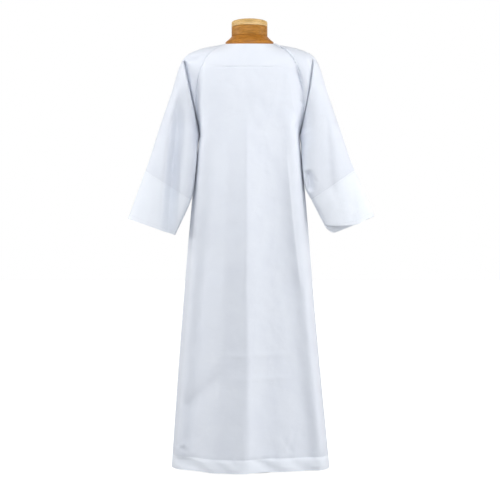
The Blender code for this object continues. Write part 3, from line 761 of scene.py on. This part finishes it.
def sewn_net():
    """All the cloth's outer points, joined and pulled in where the pieces are sewn."""
    net = bmesh.new()
    layer = net.faces.layers.int.new("panel")
    net.loops.layers.uv.new("cut")
    hem_line = 2 - HEM_DEPTH / BODY_LENGTH
    beside = HEM_CREASE / BODY_LENGTH
    rows = steps(0, 1, YOKE_ROWS) + steps(1, hem_line - beside, BODY_ROWS)[1:] + [hem_line]
    rows += steps(hem_line + beside, 2, HEM_ROWS)
    across = across_body(-1, 1, FRONT_COLUMNS)
    lay_panel(net, FRONT, [[body_point(v, c, FRONT_SEAM, CENTRE_FRONT, -1) for c in across] for v in rows])
    across = across_body(1, -1, BACK_COLUMNS)
    lay_panel(net, BACK, [[body_point(v, c, BACK_SEAM, CENTRE_BACK, 1) for c in across] for v in rows])
    rows = steps(0, 1, YOKE_ROWS) + steps(1, 2, SLEEVE_ROWS)[1:]
    for side, start, end, sleeve, cuff in (
        ("left", 0, 1, LEFT_SLEEVE, LEFT_CUFF),
        ("right", 1, 0, RIGHT_SLEEVE, RIGHT_CUFF),
    ):
        around = around_sleeve(start, end, SLEEVE_COLUMNS)
        lay_panel(net, sleeve, [[sleeve_point(v, s, side) for s in around] for v in rows])
        lay_panel(net, cuff, [[sleeve_point(v, s, side) for s in around] for v in steps(2, 3, CUFF_ROWS)])
    bmesh.ops.remove_doubles(net, verts=net.verts, dist=MERGE_DISTANCE)
    underarm = (FRONT_SEAM[-1][1], UNDERARM_Z)
    low, high = UNDERARM_BAND
    band = [vert for vert in net.verts if low < vert.co.z < high and not vert.is_boundary]
    for reach in (0.0, 0.006, 0.012, 0.018):
        calm = [vert for vert in band if math.dist((abs(vert.co.x), vert.co.z), underarm) > reach]
        for _ in range(SMOOTHINGS):
            bmesh.ops.smooth_vert(net, verts=calm, factor=0.5, use_axis_y=True)
    for vert in net.verts:
        vert.co = hung(*vert.co)
    net.normal_update()
    pulls = []
    for vert in net.verts:
        if len({face[layer] for face in vert.link_faces}) > 1:
            pucker = 0.75 + 0.5 * noise.noise(vert.co * 60)
            pulls.append((vert, vert.co - vert.normal * SEAM_PULL * pucker))
    for vert, place in pulls:
        vert.co = place
    net.verts.index_update()
    net.faces.index_update()
    net.normal_update()
    return net


def into_panel(vert, faces):
    """The direction from a seam point into its panel, or nought inside the panel."""
    inward = Vector()
    for edge in vert.link_edges:
        own = [face for face in edge.link_faces if face in faces]
        if len(own) == 1:
            along = (edge.verts[1].co - edge.verts[0].co).normalized()
            across = own[0].normal.cross(along)
            to_middle = own[0].calc_center_median() - vert.co
            inward += across if across.dot(to_middle) > 0 else -across
    return inward.normalized() if inward.length > 0 else inward


def outward(vert, panel):
    """The way out of the cloth at a point; at the underarm point the body and the sleeve part."""
    underarm_x = FRONT_SEAM[-1][1]
    beside = abs(abs(vert.co.x) - underarm_x) + abs(vert.co.y) + abs(vert.co.z - UNDERARM_Z)
    if beside > 0.003:
        return vert.normal
    away = 1 if panel in (FRONT, BACK) else -1
    return Vector((math.copysign(away, vert.co.x * away), 0, -1)).normalized()


def into_piece(name, shape, materials, sharp_angle=None):
    """Make a shape into a piece of the robe, with sharp edges where they bend by more than an angle."""
    mesh = bpy.data.meshes.new(name)
    shape.to_mesh(mesh)
    shape.free()
    if sharp_angle:
        mesh.set_sharp_from_angle(angle=math.radians(sharp_angle))
    for material in materials:
        mesh.materials.append(material)
    piece = bpy.data.objects.new(name, mesh)
    scene.collection.objects.link(piece)
    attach(piece, "root")
    return piece


def cut_piece(net, panel, finish):
    """Cut one panel out of the net as a closed wall, finished as finish(z) says for each height."""
    layer = net.faces.layers.int["panel"]
    cut = net.loops.layers.uv["cut"]
    faces = [face for face in net.faces if face[layer] == panel]
    own = set(faces)
    wall = bmesh.new()
    wall_cut = wall.loops.layers.uv.new("cut")
    outer, inner = {}, {}
    for face in faces:
        for vert in face.verts:
            if vert not in outer:
                place = vert.co + into_panel(vert, own) * SEAM_GAP / 2
                outer[vert] = wall.verts.new(place)
                thickness = SINGLE_WALL if finish(place.z) == SINGLE else DOUBLE_WALL
                inner[vert] = wall.verts.new(place - outward(vert, panel) * thickness)
    for face in faces:
        flat = {loop.vert: loop[cut].uv for loop in face.loops}
        corners = list(face.verts)
        sides = [[(outer, vert) for vert in corners], [(inner, vert) for vert in reversed(corners)]]
        for a, b, edge in zip(corners, corners[1:] + corners[:1], face.edges):
            if sum(other in own for other in edge.link_faces) == 1:
                sides.append([(outer, b), (outer, a), (inner, a), (inner, b)])
        for side in sides:
            made = wall.faces.new([skin[vert] for skin, vert in side])
            made.smooth = True
            made.material_index = finish(face.calc_center_median().z)
            for loop, (_, vert) in zip(made.loops, side):
                loop[wall_cut].uv = flat[vert]
    cloths = [single_cloth, double_cloth, faced_cloth]
    return into_piece(PANELS[panel] + "_cloth", wall, cloths, sharp_angle=60)


def cloth_group():
    """Plain weave and what makes it uneven: threads, slubs, soft rumples and a mottled tint."""
    group, given, result = new_group(
        "plain weave",
        {"Thread Pitch": "Float", "Colour": "Color", "Shade Colour": "Color"},
        {"Tint": "Color", "Normal": "Vector"},
    )
    flat = add_node(group, "UVMap", {}, uv_map="cut").outputs["UV"]
    pitch = add_node(group, "CombineXYZ", {axis: given.outputs["Thread Pitch"] for axis in "XYZ"})
    by_pitch = add_node(group, "VectorMath", {0: flat, 1: pitch.outputs["Vector"]}, operation="DIVIDE")
    threads = add_node(group, "SeparateXYZ", {"Vector": by_pitch.outputs["Vector"]})
    waves = []
    for axis in "XY":
        turn = add_node(group, "Math", {0: threads.outputs[axis], 1: math.pi}, operation="MULTIPLY")
        waves.append(add_node(group, "Math", {0: turn.outputs["Value"]}, operation="SINE").outputs["Value"])
    crossing = add_node(group, "Math", {0: waves[0], 1: waves[1]}, operation="MULTIPLY")
    slub = add_node(group, "TexNoise", {"Vector": flat, "Scale": 420, "Detail": 3})
    woven = add_node(group, "Math", {0: crossing.outputs["Value"], 1: slub.outputs["Fac"]}, operation="ADD")
    weave_relief = add_node(group, "Bump", {
        "Strength": 0.5,
        "Distance": 0.00012,
        "Height": woven.outputs["Value"],
    })
    rumple = add_node(group, "TexNoise", {"Vector": flat, "Scale": 26, "Detail": 5, "Roughness": 0.55})
    rumple_relief = add_node(group, "Bump", {
        "Strength": 0.6,
        "Distance": 0.0032,
        "Height": rumple.outputs["Fac"],
        "Normal": weave_relief.outputs["Normal"],
    })
    mottle = add_node(group, "TexNoise", {"Vector": flat, "Scale": 11, "Detail": 4})
    share = add_node(group, "MapRange", {"Value": mottle.outputs["Fac"], "From Min": 0.35, "From Max": 0.7})
    tint = add_node(group, "Mix", {
        "Factor": share.outputs["Result"],
        "A": given.outputs["Colour"],
        "B": given.outputs["Shade Colour"],
    }, data_type="RGBA")
    feed(group, result, {"Tint": tint.outputs["Result"], "Normal": rumple_relief.outputs["Normal"]})
    return group


plain_weave = cloth_group()


def white_cloth(name, colour, shade):
    """Matt white polyester and cotton with a slight blue brightener."""
    material, tree, surface = new_material(name, {
        "Roughness": 0.85,
        "Specular IOR Level": 0.3,
        "Sheen Weight": 0.12,
        "Sheen Roughness": 0.5,
    })
    weave = add_node(tree, "Group", {
        "Thread Pitch": 0.0005,
        "Colour": (*colour, 1),
        "Shade Colour": (*shade, 1),
    }, node_tree=plain_weave)
    feed(tree, surface, {"Base Color": weave.outputs["Tint"], "Normal": weave.outputs["Normal"]})
    return material


single_cloth = white_cloth("white alb cloth", (0.800, 0.830, 0.890), (0.775, 0.806, 0.872))
double_cloth = white_cloth("white alb cloth, double", (0.868, 0.900, 0.955), (0.848, 0.882, 0.940))
faced_cloth = white_cloth("white alb cloth, faced", (0.815, 0.843, 0.900), (0.790, 0.820, 0.884))

net = sewn_net()


def back_finish(z):
    """The hem is turned up, so the cloth lies double there."""
    return DOUBLE if z < HEM_Z + HEM_DEPTH else SINGLE


def front_finish(z):
    """The front is also double above the stitched line under its neckline."""
    return FACED if z > FACING_Z else back_finish(z)


alb_front = cut_piece(net, FRONT, front_finish)
alb_back = cut_piece(net, BACK, back_finish)
sleeve_left = cut_piece(net, LEFT_SLEEVE, lambda z: SINGLE)
sleeve_right = cut_piece(net, RIGHT_SLEEVE, lambda z: SINGLE)
cuff_left = cut_piece(net, LEFT_CUFF, lambda z: DOUBLE)
cuff_right = cut_piece(net, RIGHT_CUFF, lambda z: DOUBLE)
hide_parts("alb_front")
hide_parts("alb_back")
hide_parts("sleeve_left")
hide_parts("sleeve_right")
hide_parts("cuff_left")
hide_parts("cuff_right")

# ---------------------------------------------------------------- closure lap
# A narrow folded strip of the same cloth covers the opening in the wearer's left front seam. It is
# sewn down along the sleeve, and its other edge lies free on the front.
LAP_END = 0.575             # how far down the seam it runs, as a share of the way to the underarm
LAP_FRONT = 0.004           # width on the front
LAP_SLEEVE = 0.007          # width on the sleeve
LAP_GAP = 0.0022            # how far its underside stands off the cloth
LAP_LIFT = 0.0026           # and how much further at its free edge
LAP_WALL = 0.0020
LAP_ROWS = 90
LAP_COLUMNS = 9
LAP_EDGE = 0.0016           # width over which its folded edges thin out
LAP_EDGE_WALL = 0.45        # share of the wall left at the edges
LAP_TIP_ROWS = 6            # rows over which its lower end narrows, and the share that it loses
LAP_TIP = 0.65

cloth_tree = BVHTree.FromBMesh(net)


def on_cloth(point):
    """The nearest place on the cloth to a point, and the way out of the cloth there."""
    return cloth_tree.find_nearest(point)[:2]


LAP_CUT_STEP = (0.0012, 0.0022)     # a column's width and a row's height in its flat cut

lap = bmesh.new()
lap_cut = lap.loops.layers.uv.new("cut")
lap_rows = []
lap_edge = []               # two points near its edge on the sleeve, between which it is sewn down
lap_seam = [hung(*body_point(v, 1, FRONT_SEAM, CENTRE_FRONT, -1)) for v in steps(0.004, LAP_END, LAP_ROWS)]
for k, place in enumerate(lap_seam):
    ahead = (lap_seam[min(k + 1, LAP_ROWS)] - lap_seam[max(k - 1, 0)]).normalized()
    to_sleeve = ahead.cross(on_cloth(place)[1]).normalized()
    if to_sleeve.x < 0:
        to_sleeve.negate()
    beside = (on_cloth(place + to_sleeve * reach)[1] for reach in (-2 * LAP_FRONT, 1.3 * LAP_SLEEVE))
    up = sum(beside, Vector()).normalized()
    closing_in = 1 - LAP_TIP * ease((k - LAP_ROWS + LAP_TIP_ROWS) / LAP_TIP_ROWS)
    low, high = [], []
    for reach in steps(-LAP_FRONT, LAP_SLEEVE, LAP_COLUMNS):
        inside = ease(min(reach + LAP_FRONT, LAP_SLEEVE - reach) / LAP_EDGE)
        wall = LAP_WALL * (LAP_EDGE_WALL + (1 - LAP_EDGE_WALL) * inside)
        lift = LAP_GAP + LAP_LIFT * closing_in * ease(-reach / LAP_FRONT)
        point = on_cloth(place + to_sleeve * reach * closing_in)[0] + up * lift
        low.append(lap.verts.new(point))
        high.append(lap.verts.new(point + up * wall))
    lap_rows.append(low + high[::-1])
    lap_edge.append((high[-3].co.copy(), high[-2].co.copy()))
around = len(lap_rows[0])
for k, (upper, lower) in enumerate(zip(lap_rows, lap_rows[1:])):
    for i in range(around):
        j = (i + 1) % around
        face = lap.faces.new((upper[i], upper[j], lower[j], lower[i]))
        for loop, (across, down) in zip(face.loops, ((i, k), (i + 1, k), (i + 1, k + 1), (i, k + 1))):
            loop[lap_cut].uv = (across * LAP_CUT_STEP[0], -down * LAP_CUT_STEP[1])
lap.faces.new(lap_rows[0][::-1])
lap.faces.new(lap_rows[-1])
bmesh.ops.recalc_face_normals(lap, faces=lap.faces)
for face in lap.faces:
    face.smooth = True
closure_lap = into_piece("alb_closure_lap", lap, [double_cloth], sharp_angle=50)
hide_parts("closure_lap")

# ---------------------------------------------------------------- sewing
# White polyester thread in even straight stitches: along the hem, under the neckline where the facing
# is caught down, beside the edges of the cuffs and of their seams, and along the closure lap.
STITCH_PITCH = 0.0034
STITCH_LENGTH = 0.0026
THREAD_RADIUS = 0.00026
STITCH_SIDES = 5
STITCH_RINGS = [            # place along the stitch, height above the cloth, size
    (-0.50, -0.0004, 0.6),
    (-0.28, 0.0001, 1.0),
    (0.28, 0.0001, 1.0),
    (0.50, -0.0004, 0.6),
]

thread, thread_tree, thread_surface = new_material("white sewing thread", {
    "Roughness": 0.55,
    "Specular IOR Level": 0.4,
})
# The twist slants to all three axes, so that it crosses stitches of any direction.
thread_place = add_node(thread_tree, "TexCoord", {}).outputs["Object"]
slant = add_node(thread_tree, "VectorMath", {0: thread_place, 1: (0.5, 0.5, 0.5)}, operation="DOT_PRODUCT")
slanting = add_node(thread_tree, "CombineXYZ", {"X": slant.outputs["Value"]})
twist = add_node(thread_tree, "Group", {
    "Vector": slanting.outputs["Vector"],
    "Scale": 900,
    "Dark": (0.60, 0.63, 0.68, 1),
    "Light": (0.78, 0.80, 0.85, 1),
}, node_tree=ribs)
twist_relief = add_node(thread_tree, "Bump", {"Distance": 0.00008, "Height": twist.outputs["Height"]})
feed(thread_tree, thread_surface, {
    "Base Color": twist.outputs["Tint"],
    "Normal": twist_relief.outputs["Normal"],
})


def add_stitches(sewing, line):
    """Lay stitches along a line of (point, way out of the cloth), each dipping into it at its ends."""
    due = STITCH_PITCH / 2
    for (start, normal), (end, _) in zip(line, line[1:]):
        length = (end - start).length
        along = (end - start).normalized()
        side = normal.cross(along).normalized()
        while due < length:
            middle = start + along * due
            rings = []
            for share, rise, size in STITCH_RINGS:
                centre = middle + along * STITCH_LENGTH * share + normal * rise
                ring = []
                for turn in range(STITCH_SIDES):
                    angle = math.tau * turn / STITCH_SIDES
                    offset = side * math.cos(angle) + normal * math.sin(angle)
                    ring.append(sewing.verts.new(centre + offset * THREAD_RADIUS * size))
                rings.append(ring)
            for one, other in zip(rings, rings[1:]):
                for i in range(STITCH_SIDES):
                    j = (i + 1) % STITCH_SIDES
                    sewing.faces.new((one[i], one[j], other[j], other[i])).smooth = True
            sewing.faces.new(rings[0][::-1])
            sewing.faces.new(rings[-1])
            due += STITCH_PITCH
        due -= length


def sewn_piece(name, lines):
    """One piece of all the stitches along some lines."""
    sewing = bmesh.new()
    for line in lines:
        add_stitches(sewing, line)
    bmesh.ops.recalc_face_normals(sewing, faces=sewing.faces)
    return into_piece(name, sewing, [thread])


def body_line(v, start, end, count, seam, centre, toward):
    """A sewing line across the front or back, at one share of its length."""
    return [on_cloth(hung(*body_point(v, c, seam, centre, toward))) for c in steps(start, end, count)]


def sleeve_line(v, side):
    """A sewing line around a sleeve or cuff."""
    return [on_cloth(hung(*sleeve_point(v, s, side))) for s in steps(0, 1, 120)]


HEM_STITCHES = 2 - (HEM_DEPTH - 0.0004) / BODY_LENGTH       # way down the body: 2 is the hem's end
FACING_STITCHES = 0.370     # way down the yoke: 1 is the underarm
CUFF_SEAM_STITCHES = 2.035  # way down the sleeve: 2 is the cuff's seam and 3 is its end
CUFF_EDGE_STITCHES = 2.92

hem_front = body_line(HEM_STITCHES, -1, 1, 400, FRONT_SEAM, CENTRE_FRONT, -1)
hem_back = body_line(HEM_STITCHES, -1, 1, 400, BACK_SEAM, CENTRE_BACK, 1)
facing = body_line(FACING_STITCHES, -0.80, 0.80, 160, FRONT_SEAM, CENTRE_FRONT, -1)
cuff_lines = {}
for side in ("left", "right"):
    cuff_lines[side] = [sleeve_line(v, side) for v in (CUFF_SEAM_STITCHES, CUFF_EDGE_STITCHES)]
lap_line = []
for inner, outer in lap_edge[2:-5]:
    middle = (inner + outer) / 2
    lap_line.append((middle, on_cloth(middle)[1]))
net.free()

hem_front_stitches = sewn_piece("hem_front_stitches", [hem_front])
hem_back_stitches = sewn_piece("hem_back_stitches", [hem_back])
facing_stitches = sewn_piece("facing_stitches", [facing])
cuff_left_stitches = sewn_piece("cuff_left_stitches", cuff_lines["left"])
cuff_right_stitches = sewn_piece("cuff_right_stitches", cuff_lines["right"])
lap_stitches = sewn_piece("lap_stitches", [lap_line])
